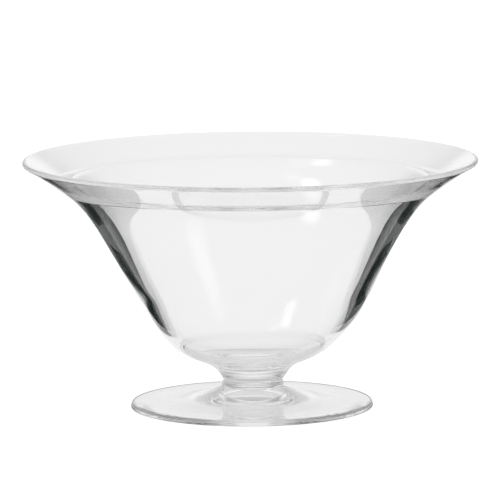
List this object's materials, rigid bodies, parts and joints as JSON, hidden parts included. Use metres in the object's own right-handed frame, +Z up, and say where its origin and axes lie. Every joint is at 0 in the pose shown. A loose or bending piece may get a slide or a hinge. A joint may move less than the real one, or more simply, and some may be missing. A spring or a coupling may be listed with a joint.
{
  "type": "footed fruit bowl",
  "caption": "Wide flared clear glass bowl with a rounded lip, a short collared stem and a round disc foot, for holding fruit on a table.",
  "frame": {"origin": "centre of the foot's standing ring, on the surface that the bowl stands on", "axes": "+Z up along the axis that the bowl, stem and foot are turned about; X and Y are free, because the bowl is round"},
  "size_m": [0.3, 0.3, 0.165],
  "materials": {
    "clear_glass": "fire-polished, clear and colourless"
  },
  "bodies": {
    "root": {"bowl": "clear_glass", "stem": "clear_glass", "foot": "clear_glass"}
  },
  "joints": []
}
